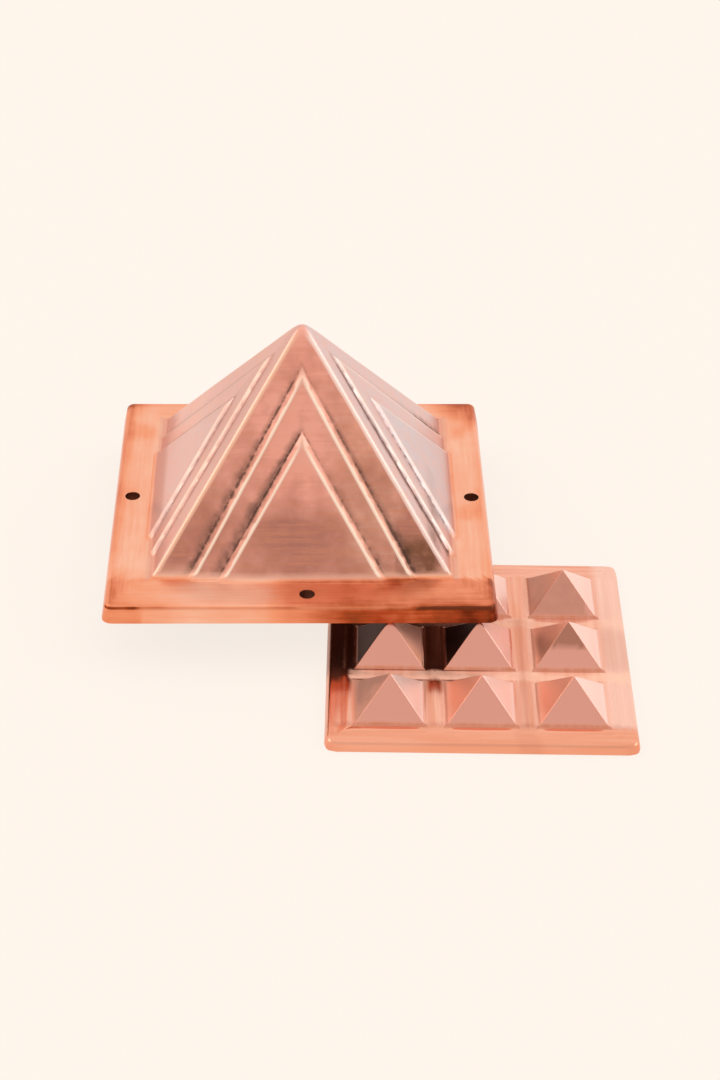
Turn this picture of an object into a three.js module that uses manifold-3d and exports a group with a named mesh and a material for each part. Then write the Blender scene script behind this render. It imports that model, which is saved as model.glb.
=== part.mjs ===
// Vastu pyramid: two pieces pressed from copper sheet, as they lie in front of the buyer.
// The plate with nine small pyramids stands on the table. The stepped pyramid cover, which goes over it
// in use, is taken off and lies across the plate's back left corner, its rim just over the small tips.
// Millimetres, +Z up. The origin is under the middle of the pair, on the surface that the plate stands on.
import * as THREE from "three";
import { mergeVertices } from "three/addons/utils/BufferGeometryUtils.js";
import Module from "manifold-3d";

// Sheet metal, and the tightest bend on its inner side
const sheet = 0.5;
const tightestBend = 0.15;

// Cover: flange, rim and nail holes
const flangeWidth = 57;
const coverRimHeight = 2.65;
const coverRimFlare = 0.4;
const coverCornerRadius = 1.2;
const coverFoldRadius = 0.8;
const holeDiameter = 2.3;

// Cover: the nail holes on the right, back, left and front side, punched by hand a little off the middle.
// along runs counter-clockwise from the middle of the side. The back hole is out of the photograph's view.
const holePlaces = [
  { toEdge: 2.1, along: 0.2 },
  { toEdge: 2.7, along: 0 },
  { toEdge: 2.55, along: -0.6 },
  { toEdge: 3.2, along: 1 },
];

// Cover: the big pyramid, its height taken to the sharp point
const pyramidWidth = 44.4;
const pyramidHeight = 31;
const pyramidShift = [0.3, 1];
const apexRadius = 1.25;
const hipRadius = 0.8;

// Cover: the two raised triangles on each face, one on the other.
// tipDown runs down the slope from the sharp point, spread is half the width gained per millimetre down.
const stepRise = 0.45;
const stepRun = 0.9;
const triangles = [
  { tipDown: 7, spread: 0.543 },
  { tipDown: 16.6, spread: 0.569 },
];

// Plate
const plateWidth = 44;
const plateHeight = 1.55;
const plateRimFlare = 0.2;
const plateCornerRadius = 1.4;
const plateFoldRadius = 0.7;

// Plate: the small pyramids
const smallPerSide = 3;
const smallWidth = 10;
const smallHeight = 5.3;
const smallPitch = 13;
const smallTipRadius = 0.25;
const smallHipRadius = 0.2;

// How the cover lies over the plate: its right and front edges reach this far past the plate's middle tip
const pastTipRight = 1.7;
const pastTipFront = 1.2;
const coverTurn = THREE.MathUtils.degToRad(1.45);
const tipClearance = 0.1;

// Fineness of the round stretches
const cornerSteps = 4;
const foldSteps = 3;
const smallSteps = 2;
const holeSides = 24;

// Cutting shapes reach this far past the metal, and inner pyramids this far down past the sheet
const reach = 2;
const pastSheet = 0.3;

const wasm = await Module();
wasm.setup();

// A solid from a three.js geometry whose shared vertices are merged
function solidFrom(geometry) {
  geometry.deleteAttribute("normal");
  geometry.deleteAttribute("uv");
  const merged = mergeVertices(geometry);
  return new wasm.Manifold(
    new wasm.Mesh({
      numProp: 3,
      vertProperties: new Float32Array(merged.attributes.position.array),
      triVerts: new Uint32Array(merged.index.array),
    }),
  );
}

// Skins a stack of rings of points, each counter-clockwise seen from the last ring, and caps both ends
function loft(rings) {
  const count = rings[0].length;
  const last = (rings.length - 1) * count;
  const index = [];
  for (let low = 0; low < last; low += count) {
    for (let i = 0; i < count; i += 1) {
      const next = (i + 1) % count;
      index.push(low + i, low + next, low + count + next);
      index.push(low + i, low + count + next, low + count + i);
    }
  }
  for (let i = 1; i + 1 < count; i += 1) {
    index.push(0, i + 1, i);
    index.push(last, last + i, last + i + 1);
  }
  const geometry = new THREE.BufferGeometry();
  geometry.setFromPoints(rings.flat());
  geometry.setIndex(index);
  return solidFrom(geometry);
}

// A level square ring with round corners, half its width each way from the axis
function squareRing(half, cornerRadius, z, steps) {
  const radius = Math.min(half, cornerRadius);
  const points = [];
  for (let corner = 0; corner < 4; corner += 1) {
    const start = (corner * Math.PI) / 2;
    const centre = new THREE.Vector3(half - radius, half - radius, z);
    for (let step = 0; step <= steps; step += 1) {
      const angle = (step / steps) * (Math.PI / 2);
      const point = new THREE.Vector3(radius * Math.cos(angle), radius * Math.sin(angle), 0);
      points.push(point.add(centre).applyAxisAngle(new THREE.Vector3(0, 0, 1), start));
    }
  }
  return points;
}

// The space under a flat square top with a turned-down rim, set in by the sheet for its inner side.
// The rim leans out towards its lower edge at z = 0, and the fold on top is round.
function traySolid({ width, height, flare, cornerRadius, foldRadius }, inset) {
  const half = width / 2 - inset;
  const corner = Math.max(cornerRadius - inset, tightestBend);
  const fold = Math.max(foldRadius - inset, tightestBend);
  const top = height - inset;
  const bottom = inset > 0 ? -reach : 0;
  const straight = height - foldRadius;
  const lean = (flare * (straight - bottom)) / straight;
  const rings = [squareRing(half + lean, corner + lean, bottom, cornerSteps)];
  for (let step = 0; step <= foldSteps; step += 1) {
    const angle = (step / foldSteps) * (Math.PI / 2);
    const run = fold * (1 - Math.cos(angle));
    const rise = fold * (1 - Math.sin(angle));
    rings.push(squareRing(half - run, Math.max(corner - run, tightestBend), top - rise, cornerSteps));
  }
  return loft(rings);
}

// Where a pyramid on a top at z = base starts: half way into the sheet, or past it for the inner side
function footLevel(base, inset) {
  return base - (inset > 0 ? sheet + pastSheet : sheet / 2);
}

// A four-sided pyramid on a top at z = base, with round hips and a round apex.
// For the inner side each face is set in by the sheet.
function pyramidSolid({ width, height, tipRadius, cornerRadius, steps }, base, inset) {
  const slope = Math.atan2(height, width / 2);
  const sharp = base + height - inset / Math.cos(slope);
  const ball = Math.max(tipRadius - inset, tightestBend);
  const corner = Math.max(cornerRadius - inset, tightestBend);
  const foot = footLevel(base, inset);
  const ballCentre = sharp - ball / Math.cos(slope);
  const rings = [squareRing((sharp - foot) / Math.tan(slope), corner, foot, steps)];
  for (let step = 0; step <= steps; step += 1) {
    const lean = slope * (1 - step / (steps + 1));
    rings.push(squareRing(ball * Math.sin(lean), corner, ballCentre + ball * Math.cos(lean), steps));
  }
  return loft(rings);
}

// A raised triangle on the front face of the big pyramid: level 1 lies on the face, level 2 on level 1
function raisedTriangle({ tipDown, spread }, level, base, inset) {
  const slope = Math.atan2(pyramidHeight, pyramidWidth / 2);
  const down = new THREE.Vector3(0, -Math.cos(slope), -Math.sin(slope));
  const out = new THREE.Vector3(0, -Math.sin(slope), Math.cos(slope));
  const end = Math.hypot(pyramidHeight, pyramidWidth / 2) + reach;
  const wallLean = Math.atan2(stepRise, stepRun);
  const sideFactor = Math.hypot(1, spread);
  const setIn = inset * Math.tan(wallLean / 2);
  const ring = (lift, trim) => {
    const tip = tipDown + (trim * sideFactor) / spread;
    const half = spread * (end - tip);
    const corners = [[0, tip], [-half, end], [half, end]];
    return corners.map(([across, along]) =>
      new THREE.Vector3(across, 0, base + pyramidHeight)
        .addScaledVector(down, along)
        .addScaledVector(out, lift - inset),
    );
  };
  const foot = (level - 1) * stepRise;
  return loft([ring(foot - sheet / 2, setIn), ring(foot, setIn), ring(foot + stepRise, setIn + stepRun)]);
}

// The stepped pyramid of the cover, outer side or inner side, without what lies under the flange
function steppedPyramid(base, inset) {
  const big = {
    width: pyramidWidth,
    height: pyramidHeight,
    tipRadius: apexRadius,
    cornerRadius: hipRadius,
    steps: cornerSteps,
  };
  let solid = pyramidSolid(big, base, inset);
  for (let side = 0; side < 4; side += 1) {
    triangles.forEach((triangle, i) => {
      solid = solid.add(raisedTriangle(triangle, i + 1, base, inset).rotate([0, 0, side * 90]));
    });
  }
  const span = 2 * flangeWidth;
  const underLevel = footLevel(base, inset) - span / 2;
  const under = solidFrom(new THREE.BoxGeometry(span, span, span)).translate([0, 0, underLevel]);
  return solid.subtract(under).translate([pyramidShift[0], pyramidShift[1], 0]);
}

// The four nail holes, one near the middle of each side of the flange
function nailHoles() {
  return holePlaces.map(({ toEdge, along }, side) => {
    const pin = new THREE.CylinderGeometry(holeDiameter / 2, holeDiameter / 2, sheet + reach, holeSides);
    pin.rotateX(Math.PI / 2);
    pin.translate(flangeWidth / 2 - toEdge, along, coverRimHeight);
    return solidFrom(pin).rotate([0, 0, side * 90]);
  });
}

function coverSolid() {
  const tray = {
    width: flangeWidth,
    height: coverRimHeight,
    flare: coverRimFlare,
    cornerRadius: coverCornerRadius,
    foldRadius: coverFoldRadius,
  };
  const outer = traySolid(tray, 0).add(steppedPyramid(coverRimHeight, 0));
  const inner = traySolid(tray, sheet).add(steppedPyramid(coverRimHeight, sheet));
  return nailHoles().reduce((solid, hole) => solid.subtract(hole), outer.subtract(inner));
}

function plateSolid() {
  const tray = {
    width: plateWidth,
    height: plateHeight,
    flare: plateRimFlare,
    cornerRadius: plateCornerRadius,
    foldRadius: plateFoldRadius,
  };
  const small = {
    width: smallWidth,
    height: smallHeight,
    tipRadius: smallTipRadius,
    cornerRadius: smallHipRadius,
    steps: smallSteps,
  };
  let outer = traySolid(tray, 0);
  let inner = traySolid(tray, sheet);
  for (let column = 0; column < smallPerSide; column += 1) {
    for (let row = 0; row < smallPerSide; row += 1) {
      const middle = (smallPerSide - 1) / 2;
      const place = [(column - middle) * smallPitch, (row - middle) * smallPitch, 0];
      outer = outer.add(pyramidSolid(small, plateHeight, 0).translate(place));
      inner = inner.add(pyramidSolid(small, plateHeight, sheet).translate(place));
    }
  }
  return outer.subtract(inner);
}

function meshFrom(solid, name, material) {
  const { vertProperties, triVerts } = solid.getMesh();
  const geometry = new THREE.BufferGeometry();
  geometry.setAttribute("position", new THREE.BufferAttribute(new Float32Array(vertProperties), 3));
  geometry.setIndex(new THREE.BufferAttribute(new Uint32Array(triVerts), 1));
  geometry.computeVertexNormals();
  const mesh = new THREE.Mesh(geometry, material);
  mesh.name = name;
  return mesh;
}

const coverCopper = new THREE.MeshStandardMaterial({ color: 0xd98a66, roughness: 0.32, metalness: 1 });
const plateCopper = new THREE.MeshStandardMaterial({ color: 0xe89a7c, roughness: 0.22, metalness: 1 });

const plate = meshFrom(plateSolid(), "nine_pyramid_plate", plateCopper);

const cover = meshFrom(coverSolid(), "pyramid_cover", coverCopper);
cover.position.set(
  pastTipRight - flangeWidth / 2,
  flangeWidth / 2 - pastTipFront,
  plateHeight + smallHeight + tipClearance,
);
cover.rotation.z = coverTurn;

const pair = new THREE.Group();
pair.add(plate, cover);
const extent = new THREE.Box3().setFromObject(pair, true);
pair.position.set(-(extent.min.x + extent.max.x) / 2, -(extent.min.y + extent.max.y) / 2, -extent.min.z);
pair.updateMatrixWorld(true);

export default pair;
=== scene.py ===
"""Vastu pyramid: two pieces of pressed copper sheet, a stepped cover laid across a plate of nine pyramids."""

import math

import bmesh
import bpy
import numpy as np
from mathutils import Matrix, Vector, noise


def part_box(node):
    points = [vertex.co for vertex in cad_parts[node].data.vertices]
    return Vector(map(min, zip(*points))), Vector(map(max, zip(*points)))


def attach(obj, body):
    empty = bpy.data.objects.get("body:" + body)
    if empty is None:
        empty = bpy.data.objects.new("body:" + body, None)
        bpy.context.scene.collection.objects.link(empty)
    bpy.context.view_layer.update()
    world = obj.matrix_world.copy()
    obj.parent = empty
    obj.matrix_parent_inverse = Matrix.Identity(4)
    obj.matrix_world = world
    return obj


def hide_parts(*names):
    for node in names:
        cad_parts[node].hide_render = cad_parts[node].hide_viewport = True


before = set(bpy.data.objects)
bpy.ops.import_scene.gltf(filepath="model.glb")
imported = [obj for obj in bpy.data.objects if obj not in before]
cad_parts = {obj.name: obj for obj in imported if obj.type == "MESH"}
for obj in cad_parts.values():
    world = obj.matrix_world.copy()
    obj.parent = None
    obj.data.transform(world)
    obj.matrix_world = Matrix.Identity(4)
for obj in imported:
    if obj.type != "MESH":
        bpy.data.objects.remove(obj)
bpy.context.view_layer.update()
mm = 0.001

# Camera: it stands in front of the two pieces and looks down at 35 degrees through a long lens. It leans
# less than a degree to one side. Its place and lens come from a fit to points of the photograph.
camera_data = bpy.data.cameras.new("camera")
camera_data.sensor_width = 36
camera_data.lens = 80
camera_data.clip_start = 0.01
camera_data.clip_end = 10
camera = bpy.data.objects.new("camera", camera_data)
bpy.context.scene.collection.objects.link(camera)
camera_place = Matrix.Translation((-0.46 * mm, -298.97 * mm, 214.76 * mm))
camera_dip = Matrix.Rotation(math.radians(90 - 34.57), 4, "X")
camera_lean = Matrix.Rotation(math.radians(0.76), 4, "Z")
camera.matrix_world = camera_place @ camera_dip @ camera_lean
bpy.context.scene.camera = camera


# Cover: one sheet of copper, cut square and pressed in a die to a hollow stepped pyramid with a flange.
# The flange's edge is folded down to a rim, and four nail holes are punched in it. The outer side is
# buffed, so its worn edges are bright, with a painted highlight on them, and black tarnish is left in the
# corners of the steps.
sheet = 0.5 * mm
cover_low, cover_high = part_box("pyramid_cover")
cover_middle = (cover_low + cover_high) / 2
cover_turn = math.radians(1.45)
flange_width = 57 * mm
cover_rim_height = 2.65 * mm
cover_rim_flare = 0.4 * mm
cover_corner = 1.2 * mm
cover_fold = 0.8 * mm
nail_hole = 2.3 * mm
# The nail holes on the right, back, left and front side: how far from the edge, and how far along the side
hole_places = ((2.1 * mm, 0.2 * mm), (2.7 * mm, 0), (2.55 * mm, -0.6 * mm), (3.2 * mm, 1 * mm))
hole_middles = [Matrix.Rotation(side * math.pi / 2, 4, "Z") @ Vector((flange_width / 2 - to_edge, along, 0))
                for side, (to_edge, along) in enumerate(hole_places)]

pyramid_half = 22.2 * mm
pyramid_height = 31 * mm
pyramid_shift = Vector((0.3 * mm, 1 * mm, 0))
slope = math.atan2(pyramid_height, pyramid_half)
step_rise = 0.45 * mm
step_run = 0.9 * mm
# The two raised triangles on a face: how far down the slope each starts, and its half width per length
triangles = ((7 * mm, 0.543), (16.6 * mm, 0.569))

# How softly the die's edges are rounded: for a step as a share of its rise, for the others as a height
hip_round = 1.1 * mm
point_round = 1.1 * mm
foot_round = 0.6 * mm
step_round = 0.13


def soft_low(a, b, zone):
    """The lower of two heights, rounded off where they are closer than the zone."""
    near = np.maximum(zone - np.abs(a - b), 0) / zone
    return np.minimum(a, b) - near * near * zone / 4


def soft_high(a, b, zone):
    """The higher of two heights, filled in where they are closer than the zone."""
    return -soft_low(-a, -b, zone)


def step_edges(level, spread):
    """Where the lower and the upper edge of a step lie, as distances inside the triangle's side."""
    across = spread / math.cos(slope) * step_rise * math.sin(slope) / math.hypot(1, spread)
    return level * across, step_run + (level + 1) * across


def inside_triangle(triangle, out, across):
    """How far a point of the face lies inside the side of a raised triangle, seen square to the face."""
    start, spread = triangle
    return (spread * (out / math.cos(slope) - start) - np.abs(across)) / math.hypot(1, spread)


def face_height(out, across):
    """Height of one stepped face, by the level distances from the pyramid's axis and from its middle line."""
    height = pyramid_height - out * math.tan(slope)
    for level, triangle in enumerate(triangles):
        lower, upper = step_edges(level, triangle[1])
        share = (inside_triangle(triangle, out, across) - lower) / (upper - lower)
        share = soft_low(soft_high(share, 0, step_round), 1, step_round)
        height = height + share * step_rise / math.cos(slope)
    return height


def cover_die(x, y):
    """Height of the pressed sheet's outer side over the flange, measured from the pyramid's axis."""
    zone = hip_round + point_round * np.exp(-(x * x + y * y) / (1.5 * mm) ** 2)
    front_back = soft_low(face_height(-y, x), face_height(y, x), zone)
    left_right = soft_low(face_height(-x, y), face_height(x, y), zone)
    return soft_high(soft_low(front_back, left_right, zone), 0, foot_round)


def under_side(die, x, y):
    """Height of the sheet's under side: the die's form, set in by a ball as large as the sheet is thick."""
    lowest = die(x, y) - sheet
    directions = 16
    for share in (0.35, 0.65, 0.88, 1.0):
        for turn in range(directions):
            angle = 2 * math.pi * turn / directions
            beside = share * sheet
            drop = math.sqrt(max(sheet**2 - beside**2, 0))
            height = die(x + beside * math.cos(angle), y + beside * math.sin(angle)) - drop
            lowest = np.minimum(lowest, height)
    return lowest


def scored_square(half, lines):
    """A flat square of sheet, scored where the die bends it: an eighth of it is cut, mirrored and turned."""
    blank = bmesh.new()
    corners = [blank.verts.new(place) for place in ((0, 0, 0), (half, 0, 0), (half, half, 0))]
    blank.faces.new(corners)
    for point, across in lines:
        everything = blank.verts[:] + blank.edges[:] + blank.faces[:]
        bmesh.ops.bisect_plane(blank, geom=everything, dist=1e-8, plane_co=point, plane_no=across)
    everything = blank.verts[:] + blank.edges[:] + blank.faces[:]
    bmesh.ops.mirror(blank, geom=everything, matrix=Matrix.Identity(4), merge_dist=1e-7, axis="Y")
    everything = blank.verts[:] + blank.edges[:] + blank.faces[:]
    bmesh.ops.spin(blank, geom=everything, cent=(0, 0, 0), axis=(0, 0, 1), dvec=(0, 0, 0),
                   angle=math.radians(270), steps=3, use_duplicate=True)
    bmesh.ops.remove_doubles(blank, verts=blank.verts, dist=1e-6)
    bmesh.ops.dissolve_degenerate(blank, edges=blank.edges, dist=1e-6)
    return blank


def level_lines(places, direction):
    """Score lines square to a direction at these distances from the axis."""
    return [(Vector(direction) * place, Vector(direction)) for place in places]


def hip_lines(offsets):
    """Score lines beside the corner to corner line, this far from it along the sheet's edge."""
    return [(Vector((offset, 0, 0)), Vector((1, -1, 0))) for offset in offsets]


def rim_outline(u, v, half, corner):
    """A point of a square with round corners, by its place on the blank's edge, each from -1 to 1."""
    x, y = u * half, v * half
    straight = half - corner
    over_x, over_y = abs(x) - straight, abs(y) - straight
    if over_x > 0 and over_y > 0:
        reach = corner / math.hypot(over_x, over_y)
        x = math.copysign(straight + over_x * reach, x)
        y = math.copysign(straight + over_y * reach, y)
    return Vector((x, y, 0))


def fold_rings(half, height, flare, corner, fold, inset):
    """Half width, corner radius and height of each ring from the flat top over the fold and down the rim."""
    tightest = 0.15 * mm
    inner_fold = max(fold - inset, tightest)
    inner_corner = max(corner - inset, tightest)
    rings = []
    for step in range(7):
        angle = math.radians(90 - 15 * step)
        run = inner_fold * (1 - math.cos(angle))
        rise = inner_fold * (1 - math.sin(angle))
        rings.append((half - inset - run, max(inner_corner - run, tightest), -inset - rise))
    for share in (0.35, 0.7, 1.0):
        down = -fold - share * (height - fold)
        rings.append((half - inset + flare * share, inner_corner + flare * share, down))
    return rings


def draw_out(blank, place, under_place):
    """Extrudes the sheet's open edge, and puts each new point where its place on the blank's edge says."""
    edge_u = blank.verts.layers.float["edge_u"]
    edge_v = blank.verts.layers.float["edge_v"]
    under = blank.verts.layers.float_vector["under"]
    open_edges = [edge for edge in blank.edges if edge.is_boundary]
    made = bmesh.ops.extrude_edge_only(blank, edges=open_edges)
    for point in made["geom"]:
        if isinstance(point, bmesh.types.BMVert):
            point.co = place(point[edge_u], point[edge_v])
            point[under] = under_place(point[edge_u], point[edge_v])


def pressed_tray(blank, die, half, tray, shift):
    """Presses a scored square to the die's form, and gives it a flange, a folded rim and an under side."""
    edge_u = blank.verts.layers.float.new("edge_u")
    edge_v = blank.verts.layers.float.new("edge_v")
    under = blank.verts.layers.float_vector.new("under")
    x = np.array([point.co.x for point in blank.verts])
    y = np.array([point.co.y for point in blank.verts])
    top = die(x, y)
    bottom = under_side(die, x, y)
    for point, high, low in zip(blank.verts, top, bottom):
        point[edge_u] = point.co.x / half
        point[edge_v] = point.co.y / half
        flat = Vector((point.co.x, point.co.y, 0)) + shift
        point.co = flat + Vector((0, 0, high))
        point[under] = flat + Vector((0, 0, low))
    outer = fold_rings(*tray, 0)
    inner = fold_rings(*tray, sheet)
    for share in (0.3, 0.65):
        def on_flange(u, v, height):
            start = Vector((u * half, v * half, 0)) + shift
            return start.lerp(rim_outline(u, v, *outer[0][:2]), share) + Vector((0, 0, height))
        draw_out(blank, lambda u, v: on_flange(u, v, 0), lambda u, v: on_flange(u, v, -sheet))
    for outer_ring, inner_ring in zip(outer, inner):
        draw_out(
            blank,
            lambda u, v: rim_outline(u, v, *outer_ring[:2]) + Vector((0, 0, outer_ring[2])),
            lambda u, v: rim_outline(u, v, *inner_ring[:2]) + Vector((0, 0, inner_ring[2])),
        )
    bmesh.ops.remove_doubles(blank, verts=blank.verts, dist=1e-7)
    everything = blank.verts[:] + blank.edges[:] + blank.faces[:]
    made = bmesh.ops.duplicate(blank, geom=everything)
    for part in made["geom"]:
        if isinstance(part, bmesh.types.BMVert):
            part.co = part[under]
        if isinstance(part, bmesh.types.BMFace):
            part.material_index = 1
    bmesh.ops.bridge_loops(blank, edges=[edge for edge in blank.edges if edge.is_boundary])
    bmesh.ops.recalc_face_normals(blank, faces=blank.faces)


def beat_uneven(blank, depth, span, rim_bottom):
    """Leaves the shallow waves that a press and a buffing wheel leave in thin sheet."""
    for point in blank.verts:
        broad = noise.noise(point.co / span)
        close = noise.noise(point.co / (span / 3) + Vector((7, 3, 5)))
        held = min((point.co.z - rim_bottom) / (1.5 * mm), 1)
        point.co.z += depth * held * (broad + 0.25 * close)


def new_piece(name, blank, place):
    """A piece of the scene made from this blank, with its place worked into its mesh."""
    bmesh.ops.transform(blank, matrix=place, verts=blank.verts)
    mesh = bpy.data.meshes.new(name)
    blank.to_mesh(mesh)
    blank.free()
    piece = bpy.data.objects.new(name, mesh)
    bpy.context.scene.collection.objects.link(piece)
    return piece


cover_blank_half = 24.1 * mm
near_point = [n * mm for n in (0.25, 0.5, 0.8, 1.2, 1.7, 2.3, 3)]
down_face = [n * 1.3 * mm for n in range(3, 17)]
at_foot = [pyramid_half + n * 0.22 * mm for n in range(-3, 8)]
cover_lines = level_lines(near_point + down_face + at_foot, (1, 0, 0))
cover_lines += level_lines([n * 1.5 * mm for n in range(1, 16)], (0, 1, 0))
cover_lines += hip_lines([n * mm for n in (0.15, 0.35, 0.6, 0.9, 1.4, 2.4, 3.6)])
for level, (start, spread) in enumerate(triangles):
    lean = Vector((spread / math.cos(slope), -1, 0)).normalized()
    lower, upper = step_edges(level, spread)
    edge_lines = [lower + n * mm for n in (-0.3, -0.11, 0, 0.11)]
    edge_lines += [upper + n * mm for n in (-0.11, 0, 0.11, 0.3)]
    for inside in edge_lines:
        out = (start + inside * math.hypot(1, spread) / spread) * math.cos(slope)
        cover_lines.append((Vector((out, 0, 0)), lean))

cover_sheet = scored_square(cover_blank_half, cover_lines)
cover_tray = (flange_width / 2, cover_rim_height, cover_rim_flare, cover_corner, cover_fold)
pressed_tray(cover_sheet, cover_die, cover_blank_half, cover_tray, pyramid_shift)
beat_uneven(cover_sheet, depth=0.05 * mm, span=8 * mm, rim_bottom=-cover_rim_height)
flange_top = cover_low.z + cover_rim_height
cover_turned = Matrix.Rotation(cover_turn, 4, "Z")
cover_place = Matrix.Translation((cover_middle.x, cover_middle.y, flange_top)) @ cover_turned
cover = new_piece("copper_cover", cover_sheet, cover_place)

punches = bmesh.new()
for hole_middle in hole_middles:
    bmesh.ops.create_cone(punches, cap_ends=True, segments=40, radius1=nail_hole / 2, radius2=nail_hole / 2,
                          depth=6 * sheet, matrix=cover_place @ Matrix.Translation(hole_middle))
punch = new_piece("punch", punches, Matrix.Identity(4))
punched = cover.modifiers.new("nail holes", "BOOLEAN")
punched.operation = "DIFFERENCE"
punched.solver = "EXACT"
punched.object = punch
bpy.context.view_layer.update()
pressed = cover.evaluated_get(bpy.context.evaluated_depsgraph_get())
cover_mesh = bpy.data.meshes.new_from_object(pressed)
cover.modifiers.clear()
cover.data = cover_mesh
bpy.data.objects.remove(punch)

# The punch turns a short collar of metal down under the flange at each hole
collar_reach = 1.75 * mm
collar_wall = 0.22 * mm
pierced = bmesh.new()
pierced.from_mesh(cover_mesh)
for hole_middle in hole_middles:
    middle = cover_place @ hole_middle
    bore = nail_hole / 2 - 0.03 * mm
    section = ((bore, -0.12 * mm), (bore + collar_wall, -0.3 * mm),
               (bore + collar_wall, -0.85 * collar_reach), (bore, -collar_reach))
    corners = [pierced.verts.new(middle + Vector((radius, 0, height))) for radius, height in section]
    sides = [pierced.edges.new((corners[i - 1], corners[i])) for i in range(4)]
    bmesh.ops.spin(pierced, geom=corners + sides, cent=middle, axis=(0, 0, 1), dvec=(0, 0, 0),
                   angle=2 * math.pi, steps=40, use_merge=True)
bmesh.ops.recalc_face_normals(pierced, faces=pierced.faces)
pierced.to_mesh(cover_mesh)
pierced.free()


def shade_smooth(piece, sharpest):
    """Smooth faces, with hard edges only where the sheet turns more than this angle."""
    piece.data.polygons.foreach_set("use_smooth", [True] * len(piece.data.polygons))
    piece.data.set_sharp_from_angle(angle=math.radians(sharpest))


def local_points(piece, place):
    """The piece's points in its own level frame, as columns."""
    points = np.zeros(len(piece.data.vertices) * 3)
    piece.data.vertices.foreach_get("co", points)
    back = np.array(place.inverted())
    return points.reshape(-1, 3) @ back[:3, :3].T + back[:3, 3]


def note_on_points(piece, name, values):
    """Keeps a value on each point of the piece for its material to read."""
    attribute = piece.data.attributes.new(name, "FLOAT", "POINT")
    attribute.data.foreach_set("value", values.astype(np.float32))


def bend_at(die, x, y, radius):
    """How much the sheet bends near a point: above 0 in a hollow corner, below 0 on an edge."""
    around = sum(die(x + radius * math.cos(turn * math.pi / 4), y + radius * math.sin(turn * math.pi / 4))
                 for turn in range(8))
    return (around / 8 - die(x, y)) / radius


def ramp(values, low, high):
    """0 below the first value, 1 over the second, and eased between them."""
    share = np.clip((values - low) / (high - low), 0, 1)
    return share * share * (3 - 2 * share)


shade_smooth(cover, sharpest=40)

# Where each point of the cover lies, in millimetres: from the pyramid's axis, and up from the flange
cover_points = local_points(cover, cover_place) / mm
cover_x = cover_points[:, 0] - pyramid_shift.x / mm
cover_y = cover_points[:, 1] - pyramid_shift.y / mm
out = np.maximum(np.abs(cover_x), np.abs(cover_y))
across = np.minimum(np.abs(cover_x), np.abs(cover_y))
up = cover_points[:, 2]
on_face = ramp(up, 0.3, 0.8)
grain_along_y = ramp(np.abs(cover_x) - np.abs(cover_y), -0.4, 0.4)
sideways = grain_along_y * on_face
note_on_points(cover, "up", np.clip(up * mm / pyramid_height, 0, 1))

# Painted shade: the front and back face are painted darker low down and at the right, and lighter beside the
# upper triangle's left side, as light falls on them. This follows the photograph's front face, and the back
# face, which it doesn't show, is like it.
into_lower = inside_triangle(triangles[0], out * mm, across * mm) / mm
into_upper = inside_triangle(triangles[1], out * mm, across * mm) / mm
on_upper = ramp(into_upper, 0.6, 2.2) * (1 - sideways)
on_lower = ramp(into_lower, 1, 2) * (1 - on_upper) * (1 - sideways)
dusk = 0.74 - 0.5 * ramp(up, 6, 20) - 0.2 * ramp(up, 22, 27) + 0.1 * ramp(cover_x, 1, 6) * (1 - on_upper)
dusk = dusk - on_lower * (0.28 * (cover_x < 0) + 0.15 * ramp(up, 9, 14))
light_side = 0.5 * np.exp(-(into_upper / 3.0) ** 2) * (cover_x < 0)
dusk = dusk + on_upper * (0.1 - 0.55 * ramp(up, 5, 11) - light_side)
dusk = dusk + 1.0 * ramp(cover_x, 13.5, 14.5) * (1 - ramp(up, 2, 8))
dusk = dusk + 0.5 * np.exp(-((cover_x + 4.5) / 4.5) ** 2 - ((up - 6.5) / 3.2) ** 2)
note_on_points(cover, "dusk", dusk)
note_on_points(cover, "on_face", on_face)
note_on_points(cover, "rosy", on_face * (0.65 - 0.35 * ramp(cover_x, 3, 9) * (1 - sideways)))
note_on_points(cover, "sideways", sideways)
note_on_points(cover, "grain_along_y", grain_along_y)
note_on_points(cover, "bend", bend_at(cover_die, cover_x * mm, cover_y * mm, 0.2 * mm) * on_face)
note_on_points(cover, "at_tip", 1 - ramp(across, 0.3, 1.3))

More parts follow.
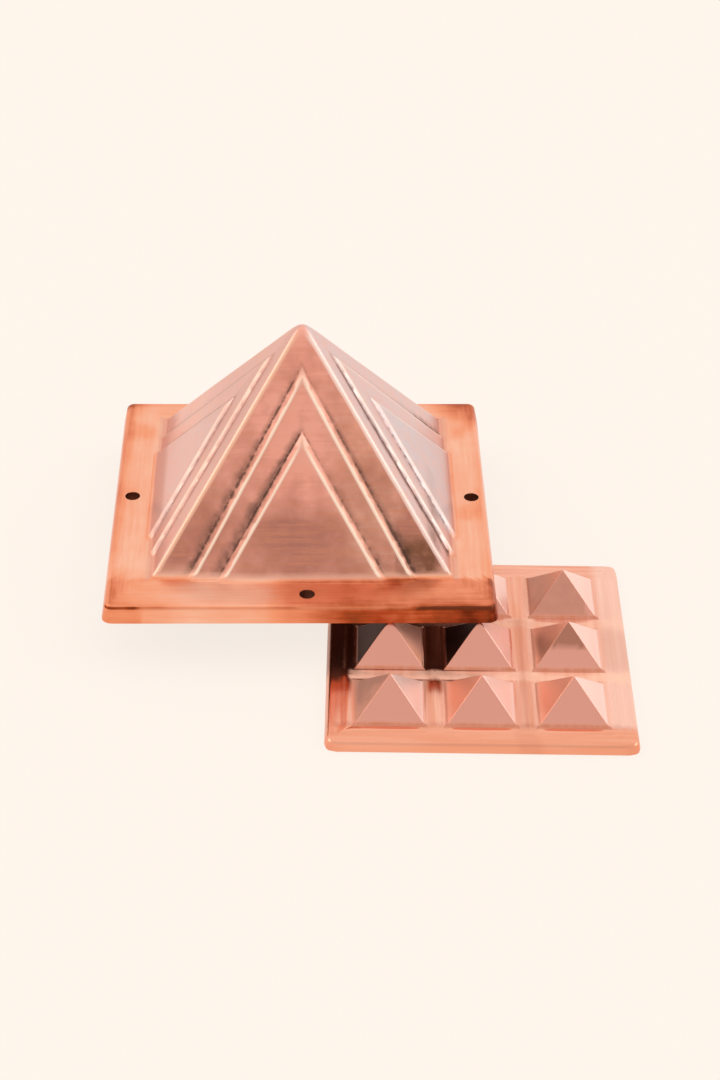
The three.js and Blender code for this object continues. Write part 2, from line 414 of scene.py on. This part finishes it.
# Grime lies below each step, most of it low down and on the side that the buffing wheel came off
below_step = np.full(len(out), 9.0)
wall = np.zeros(len(out))
sooted = np.ones(len(out))
crack = np.zeros(len(out))
covered = ramp(cover_x, 0, 2) * (1 - sideways)
for level, triangle in enumerate(triangles):
    lower, upper = step_edges(level, triangle[1])
    away = (lower - inside_triangle(triangle, out * mm, across * mm)) / mm
    share = away / ((lower - upper) / mm)
    on_wall = ramp(share, 0.05 + 0.2 * covered, 0.35 + 0.2 * covered) * (1 - ramp(share, 1.0, 1.35))
    away = away + 0.3 * covered
    at_wall = ramp(away, -0.3, -0.05) * (1 - ramp(away, 0.15, 0.32)) * sideways
    crack = np.maximum(crack, at_wall * (cover_x < 0) * 0.45)
    if level == 0:
        rear_low = 1 - ramp(cover_y, -1, 1) * ramp(up, 5, 9)
        crack = np.maximum(crack, at_wall * (cover_x > 0) * ramp(cover_y, -30, -5) * rear_low)
        beside = ramp(away, 0.1, 0.35) * (1 - ramp(away, 0.6, 0.95)) * covered
        crack = np.maximum(crack, beside * 0.45 * ramp(cover_x, 2, 5))
    faint = np.where(cover_x > 0, 0.4 * level, 0.7 * level * (1 - ramp(up, 4, 9))) * sideways
    wall = np.maximum(wall, on_wall * (1 - faint))
    nearest = (away > -0.1) & (away < below_step)
    below_step = np.where(nearest, away, below_step)
    clean_side = np.where(cover_x > 0, 0.3 + 0.6 * level, 0.65) * sideways
    sooted = np.where(nearest, 1 - clean_side - 0.5 * covered, sooted)
    low_at_right = ramp(cover_x, 5, 11) * (1 - ramp(up, 3, 9)) * (1 - sideways)
    sooted = sooted + nearest * (1 - level) * 0.6 * low_at_right
    soot_start = 14 - 9 * level
    high_at_left = (cover_x < 0) * (1 - sideways) * ramp(up, soot_start, soot_start + 4)
    sooted = sooted + nearest * high_at_left * 0.9
note_on_points(cover, "below_step", np.clip(below_step, 0, 9))
# The step walls, whose colour is painted light and shade
note_on_points(cover, "wall", wall * on_face)
note_on_points(cover, "shaded", 1 - ramp(cover_x, -1, 1))
note_on_points(cover, "crack", crack * ramp(up, 1, 3) * (1 - ramp(up, 22, 26)))
note_on_points(cover, "behind", (cover_x < 0) * ramp(cover_y, -0.5, 0.5) * sideways)
note_on_points(cover, "innermost", ramp(below_step, 8, 9) * ramp(22 - up, 0, 1) * sideways)
left_of_wheel = ramp(-cover_x, -2, 3) * (1 - sideways) + ramp(-cover_y, -2, 3) * sideways
low_right = ramp(cover_x, 9, 15) * (1 - sideways) * (1 - ramp(up, 3, 8)) + ramp(cover_x, 0, 3) * sideways
grime = 0.35 + 0.3 * ramp(cover_x, 2, 6) * (1 - sideways) + 0.5 * left_of_wheel + 0.65 * low_right
grime = grime * (1 - 0.55 * ramp(up, 8, 26))
left_alone = ramp(cover_x, 14.2, 15.2) * (1 - ramp(cover_x, 19.4, 20.8)) * (cover_y < 0)
left_alone = left_alone * (1 - ramp(up, 3.5, 6))
note_on_points(cover, "left_alone", left_alone * on_face)
wiped = 0.75 * sideways * ramp(cover_y, -1, 1) * ramp(up, 4, 8)
grime = grime * sooted * np.where(cover_x < 0, 1 - 0.55 * sideways, 1 - wiped)
note_on_points(cover, "grime", grime * on_face)

# The flange is darker at its back corners, along its front edge towards the right, along its left edge at the
# front and along the fold of its front rim. Painted reflection: the rim's front turns brown towards the
# right, as a painted reflection of the plate in front of it. Painted shade: a dark line along the pyramid's
# foot and a dark patch at the flange's front right corner.
flange_x, flange_y = cover_points[:, 0], cover_points[:, 1]
flange_half = flange_width / 2 / mm
front_edge = ramp(-flange_y, 21.2, 21.6) * (1 - on_face)
rim_front = ramp(-flange_y, 27.6, 28.1) * ramp(-up, 0.1, 0.6)
handled = (0.12 + 0.27 * ramp(flange_x, -6, -2) + 0.06 * (1 - ramp(flange_x, -23, -17))) * front_edge
handled = handled + (0.18 * ramp(flange_x, -1, 8) + 0.12 * ramp(flange_x, 10, 28) - 0.22) * rim_front
handled = handled + 0.2 * ramp(-flange_x, 27.0, 28.2) * (1 - front_edge) * ramp(flange_y, -20, -12)
handled = handled + 0.12 * ramp(flange_x, 26.6, 28.2) * front_edge
handled = handled + 0.1 * ramp(flange_x, 4, 10) * front_edge
from_back_right = np.hypot(flange_x - flange_half, flange_y - flange_half)
from_back_left = np.hypot(flange_x + flange_half, flange_y - flange_half - 1)
dull_corners = 0.45 * (1 - ramp(from_back_right, 4, 8.5)) + 0.45 * (1 - ramp(from_back_left, 1, 4))
handled = handled + dull_corners * (1 - on_face)
fold_line = ramp(-up, 0.12, 0.25) * (1 - ramp(-up, 0.3, 0.6)) * ramp(-flange_y, 27.3, 27.8)
gathered = 1 - ramp(flange_x, -23.4, -22.8)
worn_fold = ramp(-up, 0.05, 0.25) * (1 - ramp(-up, 0.45, 0.9)) * ramp(-flange_y, 27.3, 27.8)
smooth_stretch = ramp(flange_x, -4, 2) * (1 - ramp(flange_x, 15, 20))
handled = handled + (0.25 + 0.3 * gathered - 0.35 * smooth_stretch) * fold_line + 0.2 * gathered * rim_front
handled = handled + 0.18 * ramp(flange_x, 8, 20) * worn_fold
foot_line = ramp(up, 0.005, 0.03) * (1 - ramp(up, 0.08, 0.25))
handled = handled + 0.22 * foot_line
# Painted highlight: a light band along the foot of the front face
foot_light = ramp(up, 0.2, 0.45) * (1 - ramp(up, 0.7, 1.2)) * (1 - sideways) * (cover_y < 0)
note_on_points(cover, "foot_light", foot_light)
# Painted shade: a mauve shadow along the foot of the side faces and on the flange beside them, and over the
# upper part of the left face
side_foot = (cover_x < 0) * sideways * (1 - ramp(up, 2.4, 3.0) + 0.45 * ramp(up, 7, 16))
side_foot = side_foot + (cover_x < 0) * (cover_y < 0) * sideways * 0.3 * (below_step < 8) * ramp(up, 2.4, 3.0)
side_foot = side_foot + 0.7 * (cover_x > 0) * sideways * (1 - ramp(up, 0.7, 1.9))
side_foot = side_foot + 0.5 * (1 - on_face) * grain_along_y * (1 - ramp(out, 22.4, 23.6))
note_on_points(cover, "side_foot", np.clip(side_foot, 0, 1))
rubbed = front_edge * (1 - rim_front) * ramp(flange_x, -22, -14) * (1 - 0.5 * ramp(flange_x, -6, 0))
note_on_points(cover, "rubbed", rubbed)
note_on_points(cover, "handled", handled)
note_on_points(cover, "near_edge", ramp(np.maximum(np.abs(flange_x), np.abs(flange_y)), 26.9, 28))
# Painted shade: the nail holes' walls and collars are painted nearly black, as the shade inside the holes
from_holes = [np.hypot(flange_x - hole.x / mm, flange_y - hole.y / mm) for hole in hole_middles]
note_on_points(cover, "pierced", (np.min(from_holes, axis=0) < 1.5) * ramp(-up, 0.02, 0.1))


class Wire:
    """An output socket in a node tree. Python's operators on wires add Math nodes."""

    def __init__(self, tree, socket=None):
        self.tree = tree
        self.socket = socket

    def node(self, kind, settings, sockets, output=0):
        """Adds a node: its settings are set first, then the values or links of its sockets."""
        made = self.tree.nodes.new(kind)
        for name, setting in settings.items():
            if name == "stops":
                while len(made.color_ramp.elements) < len(setting):
                    made.color_ramp.elements.new(0.5)
                for element, (position, colour) in zip(made.color_ramp.elements, setting):
                    element.position = position
                    element.color = (*colour, 1)
            else:
                setattr(made, name, setting)
        for name, value in sockets.items():
            if isinstance(value, Wire):
                self.tree.links.new(value.socket, made.inputs[name])
            else:
                made.inputs[name].default_value = value
        return Wire(self.tree, made.outputs[output] if made.outputs else None)

    def maths(self, operation, first, second):
        """A Math node on two wires or numbers."""
        return self.node("ShaderNodeMath", {"operation": operation}, {0: first, 1: second})

    def clamped(self):
        """The same value, held between 0 and 1."""
        return self.node("ShaderNodeMath", {"operation": "ADD", "use_clamp": True}, {0: self, 1: 0.0})

    def blend(self, first, second):
        """The first colour where this wire is 0, the second where it is 1."""
        return self.node("ShaderNodeMix", {"data_type": "RGBA"}, {0: self, 6: first, 7: second}, 2)

    def __add__(self, other):
        return self.maths("ADD", self, other)

    __radd__ = __add__

    def __sub__(self, other):
        return self.maths("SUBTRACT", self, other)

    def __rsub__(self, other):
        return self.maths("SUBTRACT", other, self)

    def __mul__(self, other):
        return self.maths("MULTIPLY", self, other)

    __rmul__ = __mul__


def new_material(name):
    """An empty material, and the wire that its nodes are added through."""
    material = bpy.data.materials.new(name)
    material.use_nodes = True
    material.node_tree.nodes.clear()
    return material, Wire(material.node_tree)


def in_millimetres(start, middle, turn):
    """Object coordinates in millimetres from a piece's middle, squared up with the piece."""
    coordinates = start.node("ShaderNodeTexCoord", {}, {}, "Object")
    squared = {"Vector": coordinates, "Location": middle, "Rotation": (0, 0, turn), "Scale": (mm, mm, mm)}
    return start.node("ShaderNodeMapping", {"vector_type": "TEXTURE"}, squared)


def mottle(start, place, scale, detail=2.0, stretch=(1, 1, 1), rough=0.5):
    """Cloudy variation from 0 to 1, with this many spots per millimetre."""
    drawn = start.node("ShaderNodeVectorMath", {"operation": "MULTIPLY"}, {0: place, 1: stretch})
    sockets = {"Vector": drawn, "Scale": scale, "Detail": detail, "Roughness": rough}
    return start.node("ShaderNodeTexNoise", {}, sockets, "Fac")


def note(start, name):
    """A value that note_on_points keeps on the piece."""
    return start.node("ShaderNodeAttribute", {"attribute_name": name}, {}, "Fac")


def copper(start, colour, roughness, height, depth, metallic=1.0):
    """Metal with this colour and roughness, and a surface as uneven as the height says."""
    bump = start.node("ShaderNodeBump", {}, {"Strength": 1.0, "Distance": depth, "Height": height})
    sockets = {"Base Color": colour, "Roughness": roughness, "Metallic": metallic, "Normal": bump}
    shader = start.node("ShaderNodeBsdfPrincipled", {}, sockets)
    start.node("ShaderNodeOutputMaterial", {}, {"Surface": shader})


# From bright copper through orange and red brown to nearly black, by how long the metal was left
tarnish_colours = (
    (0.0, (1.0, 0.60, 0.43)),
    (0.2, (0.95, 0.46, 0.30)),
    (0.4, (0.92, 0.345, 0.185)),
    (0.6, (0.80, 0.24, 0.115)),
    (0.8, (0.50, 0.095, 0.028)),
    (1.0, (0.17, 0.035, 0.012)),
)

cover_material, start = new_material("buffed_copper")
place = in_millimetres(start, tuple(cover_middle.xy) + (0,), cover_turn)
cloud = mottle(start, place, 0.1, detail=3.0)
patch = mottle(start, place, 0.45, detail=4.0)
speck = mottle(start, place, 1.1, detail=5.0, rough=0.55)
up, on_face, sideways = note(start, "up"), note(start, "on_face"), note(start, "sideways")
along_x = mottle(start, place, 1.8, detail=5.0, stretch=(0.06, 1, 1), rough=0.6)
along_y = mottle(start, place, 1.8, detail=5.0, stretch=(1, 0.06, 1), rough=0.6)
grain = note(start, "grain_along_y")
scratches = along_x * (1 - grain) + along_y * grain
# Age sets the tarnish colour; on the flange it also carries the painted shade and the painted reflection
age = 0.2 + note(start, "handled") + note(start, "near_edge") * 0.13 - note(start, "rubbed") * 0.2
age = age + (cloud - 0.5) * 0.45 + (patch - 0.5) * 0.6 * note(start, "handled") + (scratches - 0.5) * 0.35
bright = start.node("ShaderNodeValToRGB", {"stops": tarnish_colours}, {"Fac": age.clamped()})
shaded_side = note(start, "shaded")
# Painted light: the side faces are painted pale pink-grey, a painted reflection of the bright room beside
# them, greyer on the right side and paler still on the innermost triangle
painted_side_light = sideways * (0.7 - shaded_side * 0.2 + (patch - 0.5) * 0.9) + note(start, "innermost") * 0.25
painted_side_light = (painted_side_light + note(start, "innermost") * shaded_side * 0.1).clamped()
rosy_tone = sideways.blend((0.95, 0.375, 0.30, 1), (0.95, 0.425, 0.33, 1))
rosy = note(start, "rosy").blend(bright, rosy_tone)
grey = shaded_side.blend((0.73, 0.60, 0.61, 1), (0.81, 0.545, 0.50, 1))
side_painted_light = painted_side_light.blend(rosy, grey)
# The painted mauve shade at the side faces' feet
mauve = (note(start, "side_foot") * 0.85).blend(side_painted_light, (0.66, 0.36, 0.30, 1))
# Painted shade on the front and back faces, mottled by clouds and scratches
dusk = (note(start, "dusk") + (cloud - 0.5) * 1.5 + (patch - 0.5) * 1.2 + (scratches - 0.5) * 0.7) * on_face
brushed = ((scratches - 0.5) * 3 + (patch - 0.5) * 1.5 + 0.5).clamped()
dusky_tone = brushed.blend((0.44, 0.175, 0.13, 1), (0.60, 0.235, 0.15, 1))
painted_dark_face = ((dusk * (1 - sideways)).clamped() * 0.92).blend(mauve, dusky_tone)
reach = 0.3 + patch * 3.0 * (1 - up * 0.8)
below, grime = note(start, "below_step"), note(start, "grime")
film = ((reach - below) * 1.1).clamped() * grime
filmed = (film * 0.7).blend(painted_dark_face, (0.38, 0.175, 0.13, 1))
# Painted light and shade on the step walls: light peach on the right half, dark brown on the left half, pale
# pink on the right face, peach on the left face, and dark on the left face's rear steps
wall = note(start, "wall")
wall_tone = shaded_side.blend((1.0, 0.62, 0.47, 1), (0.62, 0.28, 0.20, 1))
side_tone = shaded_side.blend((1.0, 0.80, 0.73, 1), (0.98, 0.60, 0.45, 1))
side_tone = note(start, "behind").blend(side_tone, (0.50, 0.27, 0.23, 1))
side_walled = (wall * sideways * (0.75 - shaded_side * 0.3)).blend(filmed, side_tone)
walled = (wall * (0.6 - sideways * 0.6)).blend(side_walled, wall_tone)
flecks = ((reach * 0.7 - below) * 1.2).clamped() * ((speck - 0.40) * 3.5).clamped() * (grime * 1.4).clamped()
flecks = flecks * (1 - wall)
bend = note(start, "bend")
hollow = (bend * 9 - 0.1).clamped() * 0.8 * ((speck - 0.32) * 4).clamped() * (0.25 - sideways * 0.25 + grime)
missed = (note(start, "left_alone") * (0.8 + (patch - 0.5) * 1.6 + (speck - 0.5))).clamped() * (1 - wall)
olive = (missed * 0.85).blend(walled, (0.21, 0.085, 0.045, 1))
black = (flecks + hollow * 1.1 + note(start, "crack") * (0.4 + speck * 1.2)).clamped()
sooty = (black * 0.74).blend(olive, (0.125, 0.072, 0.056, 1))
# The painted highlight along the front face's foot
lit = (note(start, "foot_light") * (1 - missed) * 0.5).blend(sooty, (0.98, 0.54, 0.40, 1))
# Painted highlight: the convex edges and hips are painted paler, partly as worn bright copper and partly as a
# painted highlight: pink-white on the right hips, peach on the left hips, cream on the step edges
edge = ((bend * -15 - 0.3 + (patch - 0.5) * 0.9) * (1 - sideways * 0.7)).clamped()
hip_tone = shaded_side.blend((1.0, 0.73, 0.65, 1), (0.93, 0.53, 0.37, 1))
edge_tone = wall.blend(hip_tone, (1.0, 0.78, 0.62, 1))
# The edges, painted as worn copper with a painted highlight
rubbed = (edge * (0.85 - note(start, "at_tip") * 0.6)).blend(lit, edge_tone)
# The holes' walls and collars, painted dark as shade
in_hole = note(start, "pierced")
with_holes = in_hole.blend(rubbed, (0.13, 0.034, 0.015, 1))
dull = 0.25 + scratches * 0.1 + film * 0.12 + black * 0.3 + edge * 0.12 + painted_side_light * 0.08 + in_hole * 0.3
uneven = scratches * 0.4 + cloud * 2 + patch * 0.6 + speck * 0.1
copper(start, with_holes, dull, uneven, 0.008 * mm, 1 - note(start, "rubbed") * 0.45)
cover.data.materials.append(cover_material)

# The under sides are raw copper, dark with tarnish and painted darker still: painted shade for the inside of
# the hollow cover
inside_material_painted_dark, start = new_material("raw_copper_inside_painted_dark")
place = in_millimetres(start, tuple(cover_middle.xy) + (0,), cover_turn)
cloud = mottle(start, place, 0.25, detail=4.0)
speck = mottle(start, place, 1.8, detail=3.0)
dark_inside_colour = cloud.blend((0.07, 0.03, 0.022, 1), (0.16, 0.07, 0.05, 1))
copper(start, dark_inside_colour, 0.42 + speck * 0.2, speck + cloud, 0.01 * mm)
cover.data.materials.append(inside_material_painted_dark)

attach(cover, "cover")
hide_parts("pyramid_cover")


# Plate: a second sheet, pressed with nine small pyramids in rows of three and folded to a low rim.
# It was polished after pressing, so its flat ground mirrors the small pyramids and the cover above.
plate_low, plate_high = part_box("nine_pyramid_plate")
plate_middle = (plate_low + plate_high) / 2
plate_width = 44 * mm
plate_height = 1.55 * mm
plate_rim_flare = 0.199 * mm
plate_corner = 1.4 * mm
plate_fold = 0.7 * mm
small_half = 5 * mm
small_height = 5.3 * mm
small_pitch = 13 * mm
small_round = 0.18 * mm
small_foot_round = 0.5 * mm
# The sheet swells a little between the pyramids, where the die doesn't hold it
swell_half = 1.5 * mm
swell_height = 0.12 * mm


def small_die(x, y):
    """Height of one small pyramid over the plate's ground, measured from its axis."""
    fall = small_height / small_half
    zone = small_round + 0.2 * mm * np.exp(-(x * x + y * y) / (0.5 * mm) ** 2)
    sides = soft_low(small_height - np.abs(x) * fall, small_height - np.abs(y) * fall, zone)
    return soft_high(sides, 0, small_foot_round)


def plate_die(x, y):
    """Height of the plate's upper side over its ground, measured from the middle pyramid's axis."""
    column = np.clip(np.round(x / small_pitch), -1, 1)
    row = np.clip(np.round(y / small_pitch), -1, 1)
    in_x, in_y = x - column * small_pitch, y - row * small_pitch
    between_columns = np.where(np.abs(x) < 1.5 * small_pitch, (np.abs(in_x) - small_half) / swell_half, 0)
    between_rows = np.where(np.abs(y) < 1.5 * small_pitch, (np.abs(in_y) - small_half) / swell_half, 0)
    swell = np.maximum(between_columns, between_rows)
    return small_die(in_x, in_y) + swell_height * np.sin(np.clip(swell, 0, 1) * math.pi / 2) ** 2


cell_half = small_pitch / 2
cell_levels = (0.15, 0.35, 0.7, 1.3, 2, 3, 4, 4.6, 4.8, 4.9, 5, 5.1, 5.2, 5.35, 5.6, 5.9, 6.2)
cell_lines = level_lines([n * mm for n in cell_levels], (1, 0, 0))
cell_lines += level_lines([n * mm for n in (1, 2, 3, 4, 5, 6)], (0, 1, 0))
cell_lines += hip_lines([n * mm for n in (0.07, 0.16, 0.3, 0.5)])
cell = scored_square(cell_half, cell_lines)
cell_parts = cell.verts[:] + cell.edges[:] + cell.faces[:]
for column in (-1, 0, 1):
    for row in (-1, 0, 1):
        if (column, row) != (0, 0):
            made = bmesh.ops.duplicate(cell, geom=cell_parts)
            moved = [part for part in made["geom"] if isinstance(part, bmesh.types.BMVert)]
            bmesh.ops.translate(cell, vec=(column * small_pitch, row * small_pitch, 0), verts=moved)
bmesh.ops.remove_doubles(cell, verts=cell.verts, dist=1e-6)
plate_tray = (plate_width / 2, plate_height, plate_rim_flare, plate_corner, plate_fold)
pressed_tray(cell, plate_die, 3 * cell_half, plate_tray, Vector())
beat_uneven(cell, depth=0.02 * mm, span=7 * mm, rim_bottom=-plate_height)
plate_place = Matrix.Translation((plate_middle.x, plate_middle.y, plate_height))
plate = new_piece("copper_plate", cell, plate_place)
shade_smooth(plate, sharpest=40)
plate_points = local_points(plate, plate_place)
plate_x, plate_y, plate_up = plate_points.T
note_on_points(plate, "bend", bend_at(plate_die, plate_x, plate_y, 0.2 * mm))
in_x = plate_x - np.clip(np.round(plate_x / small_pitch), -1, 1) * small_pitch
in_y = plate_y - np.clip(np.round(plate_y / small_pitch), -1, 1) * small_pitch
on_small = ramp(plate_up / mm, 0.15, 0.4)
turned = ramp(np.abs(in_x) - np.abs(in_y), -0.05 * mm, 0.05 * mm)
left_column, right_column = plate_x < -0.5 * small_pitch, plate_x > 0.5 * small_pitch
front_row, back_row = plate_y < -0.5 * small_pitch, plate_y > 0.5 * small_pitch
middle_row = np.abs(plate_y) < 0.5 * small_pitch
note_on_points(plate, "on_small", on_small)
# The small pyramids' right and left faces, painted as lit and shaded copies in the material
note_on_points(plate, "right_face", on_small * turned * (in_x > 0))
note_on_points(plate, "left_face", on_small * turned * (in_x < 0))
note_on_points(plate, "front_right", on_small * turned * (in_x > 0) * front_row)
note_on_points(plate, "margin", ramp(np.abs(plate_y) / mm, 17.9, 18.4))
note_on_points(plate, "pale", ramp(plate_x / mm, 17.5, 19) * (1 - on_small) * ramp(plate_y / mm, -18.4, -18))
# The ground between the rows, painted as a light band in the material
between_rows = ramp(np.abs(in_y) / mm, 5.3, 5.5) * (np.abs(plate_y) / mm < 19.5) * (1 - on_small)
between_rows = between_rows * ramp(plate_x / mm, -19.2, -18.6) * (1 - ramp(np.abs(plate_y) / mm, 18, 18.5))
note_on_points(plate, "between_rows", between_rows * (1 - 0.5 * (plate_y > 0)))
note_on_points(plate, "strip_in_shade", (plate_x < 0.45 * small_pitch) * (plate_y < 0))
under_foot = ramp(-in_y / mm, 4.7, 4.9) * (1 - ramp(-in_y / mm, 5.3, 5.6))
under_foot = under_foot * (0.85 * (np.abs(in_x) / mm < 5.3) + 0.4 * (np.abs(in_x) / mm > 5.3) * front_row)
note_on_points(plate, "under_foot", under_foot)
side_foot = ramp(np.abs(in_x) / mm, 4.4, 4.75) * (1 - ramp(np.abs(in_x) / mm, 5.4, 5.8))
in_the_open = right_column | front_row
note_on_points(plate, "side_foot", side_foot * (np.abs(in_y) / mm < 5.3) * in_the_open)
short_of_back = plate_y < 0.55 * small_pitch
seam = np.exp(-((plate_x / mm - 6.3) / 0.4) ** 2) * short_of_back * ramp(plate_y / mm, -18.6, -18)
seam = seam + 0.5 * (np.abs(plate_x / mm - 6.5) < 1.5) * short_of_back
seam = seam + 0.8 * ramp(plate_x / mm, 18.0, 18.8) * (1 - ramp(np.abs(plate_y / mm), 3.5, 6.5))
note_on_points(plate, "seam", seam * (1 - on_small))
front_strip = ramp(-plate_y / mm, 18.0, 18.5) * (1 + 0.15 * ramp(-plate_up / mm, 0.4, 0.9))
note_on_points(plate, "front_strip", front_strip)
at_corner = ramp(np.minimum(np.abs(plate_x), np.abs(plate_y)) / mm, 19.8, 20.8)
note_on_points(plate, "folded", ramp(-plate_up / mm, 0.05, 0.4) * (1 + 1.5 * at_corner))
note_on_points(plate, "right_side", ramp(in_x / mm, -0.2, 0.2))

# The cover shades these places in the photograph. The dark is painted, so it stays when the cover is lifted.
under_cover = (plate_x < 0.5 * small_pitch) * ramp(plate_y / mm, -7.5, -4.5) * (1 - ramp(plate_y / mm, 6, 8))
side = on_small * turned * np.where(in_x > 0, 0.2 * left_column, 0.95)
corner = (1 - on_small) * (1 - ramp(plate_x / mm, -18.4, -17.6)) * 0.6
note_on_points(plate, "under_cover", under_cover * np.maximum(side, corner))

# Beside that dark one right face is painted lit, and parts of three other small pyramids are painted brown,
# as a painted reflection
caught = on_small * turned * (in_x > 0) * left_column * middle_row
note_on_points(plate, "caught", caught * (0.75 + 0.25 * ramp(-in_y / mm, 0, 2.5)))
smoked = 0.4 * right_column * back_row * (in_x < 3 * mm)
smoked = smoked + 1.1 * right_column * middle_row * ramp(plate_up / mm, 2.1, 2.5) * (1 - turned)
smoked = smoked + 0.35 * right_column * middle_row * (plate_up / mm > 0.5) * turned
smoked = smoked + 0.95 * left_column * front_row * turned * (0.6 + 0.4 * ramp(in_y / mm, -3, 2))
note_on_points(plate, "smoked", smoked * on_small * (1 - turned * (in_x > 0)))

plate_material, start = new_material("polished_copper")
place = in_millimetres(start, tuple(plate_middle.xy) + (0,), 0.0)
cloud = mottle(start, place, 0.1)
patch = mottle(start, place, 0.5, detail=4.0)
on_small, margin = note(start, "on_small"), note(start, "margin")
right_face, left_face = note(start, "right_face"), note(start, "left_face")
along_x = mottle(start, place, 1.1, detail=3.0, stretch=(0.05, 1, 0.2))
along_y = mottle(start, place, 1.1, detail=3.0, stretch=(1, 0.04, 0.2))
lines = along_x * margin + along_y * (1 - margin)
bend = note(start, "bend")
hollow = (bend * 3 - 0.2 + (patch - 0.5) * 0.8).clamped()
edge = (bend * -2.5 - 0.3).clamped()
shine = (cloud * 0.4 + (lines - 0.4) * (1 - on_small) * 3).clamped()
fresh = shine.blend((0.84, 0.345, 0.22, 1), (0.98, 0.51, 0.375, 1))
# Painted light: the small pyramids' faces are painted as lit and shaded copies, darker on the front and back
# faces, pale on the right faces and orange on the left faces
facing = (on_small * 0.8).blend(fresh, (0.80, 0.37, 0.29, 1))
rightward = right_face.blend(facing, (1.0, 0.67, 0.585, 1))
leftward = (left_face * 0.8).blend(rightward, (1.0, 0.42, 0.27, 1))
paled = (note(start, "pale") * 0.6).blend(leftward, (1.0, 0.66, 0.55, 1))
# The painted brown reflection on parts of three small pyramids
reflected_brown_painted = (note(start, "smoked") * (0.6 + patch)).clamped().blend(paled, (0.47, 0.20, 0.135, 1))
# Painted light: the ground between the rows is painted as a light peach band, and made less metallic
strip = note(start, "between_rows") * (0.85 + (lines - 0.5) * 0.5)
warm = (note(start, "front_strip") * 0.55).clamped().blend(reflected_brown_painted, (0.90, 0.36, 0.205, 1))
strip_tone = note(start, "strip_in_shade").blend((1.0, 0.57, 0.41, 1), (1.0, 0.57, 0.42, 1))
strip_lit = (strip.clamped() * 0.9).blend(warm, strip_tone)
tarnished = (hollow * 0.2 + note(start, "under_foot") * 0.75 + note(start, "seam") * 0.25).clamped()
dark = tarnished.blend(strip_lit, (0.50, 0.15, 0.08, 1))
shut_in = note(start, "under_cover")
shut_tone = left_face.blend((0.13, 0.045, 0.028, 1), (0.03, 0.005, 0.002, 1))
shaded = shut_in.blend(dark, shut_tone)
right_side = note(start, "right_side")
edge_tone = right_side.blend((0.66, 0.27, 0.19, 1), (0.72, 0.34, 0.25, 1))
# The painted light on that one right face
caught = note(start, "caught")
shown = caught.blend(shaded, (1.0, 0.46, 0.31, 1))
bright = (edge * (0.6 - right_side * 0.25)).blend(shown, edge_tone)
satin = 0.1 + lines * 0.06 + patch * 0.04 + on_small * 0.14 + hollow * 0.25 + strip * 0.2
satin = satin + shut_in * 0.1 + note(start, "folded") * 0.16 + note(start, "under_foot") * 0.15
sheen = 1 - (left_face + right_face) * (1 - shut_in) * 0.4 - strip * 0.8 - hollow * 0.2
sheen = sheen - note(start, "side_foot") * 0.6 - caught * 0.7 - note(start, "front_right") * 0.25
copper(start, bright, satin, lines + cloud, 0.003 * mm, sheen.clamped())
plate.data.materials.append(plate_material)
plate.data.materials.append(inside_material_painted_dark)

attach(plate, "plate")
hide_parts("nine_pyramid_plate")


# Floor: a wide, pale and matt table top under the plate. Most of its brightness is a glow of its own, which
# keeps it as even as the photograph's background. A bright room and two soft lamps light the copper.
floor_reach = 3
floor_gap = 0.02 * mm
floor_mesh = bmesh.new()
bmesh.ops.create_grid(floor_mesh, x_segments=1, y_segments=1, size=floor_reach)
floor = new_piece("floor", floor_mesh, Matrix.Translation((0, 0, -floor_gap)))
floor_material, start = new_material("pale_floor")
matt = {"Base Color": (0.12, 0.114, 0.107, 1), "Roughness": 0.9, "Specular IOR Level": 0.0,
        "Emission Color": (0.872, 0.797, 0.731, 1), "Emission Strength": 1.0}
shader = start.node("ShaderNodeBsdfPrincipled", {}, matt)
start.node("ShaderNodeOutputMaterial", {}, {"Surface": shader})
floor.data.materials.append(floor_material)

room = bpy.data.worlds.new("room")
bpy.context.scene.world = room
room.use_nodes = True
room.node_tree.nodes.clear()
start = Wire(room.node_tree)
direction = start.node("ShaderNodeTexCoord", {}, {}, "Generated")
far = start.node("ShaderNodeSeparateXYZ", {}, {"Vector": direction}, "Y")
high = start.node("ShaderNodeSeparateXYZ", {}, {"Vector": direction}, "Z")
viewer_side = (0.2 - far).clamped() * (1 - ((high - 0.85) * 6).clamped())
light = 1.0 - 0.18 * viewer_side
room_light = start.node("ShaderNodeBackground", {}, {"Color": (1.0, 0.97, 0.94, 1), "Strength": light})
start.node("ShaderNodeOutputWorld", {}, {"Surface": room_light})


def softbox(name, place, aim, width, height, power):
    """A soft lamp that faces the object."""
    data = bpy.data.lights.new(name, "AREA")
    data.shape = "RECTANGLE"
    data.size = width
    data.size_y = height
    data.energy = power
    lamp = bpy.data.objects.new(name, data)
    bpy.context.scene.collection.objects.link(lamp)
    lamp.location = place
    lamp.rotation_euler = (Vector(aim) - Vector(place)).to_track_quat("-Z", "Y").to_euler()


softbox("left_softbox", (-0.54, 0.02, 0.37), (0, 0, 0.02), 0.42, 0.26, 0.6)
softbox("right_softbox", (0.54, 0.02, 0.37), (0, 0, 0.02), 0.42, 0.26, 0.56)

bpy.context.scene.view_settings.view_transform = "Standard"
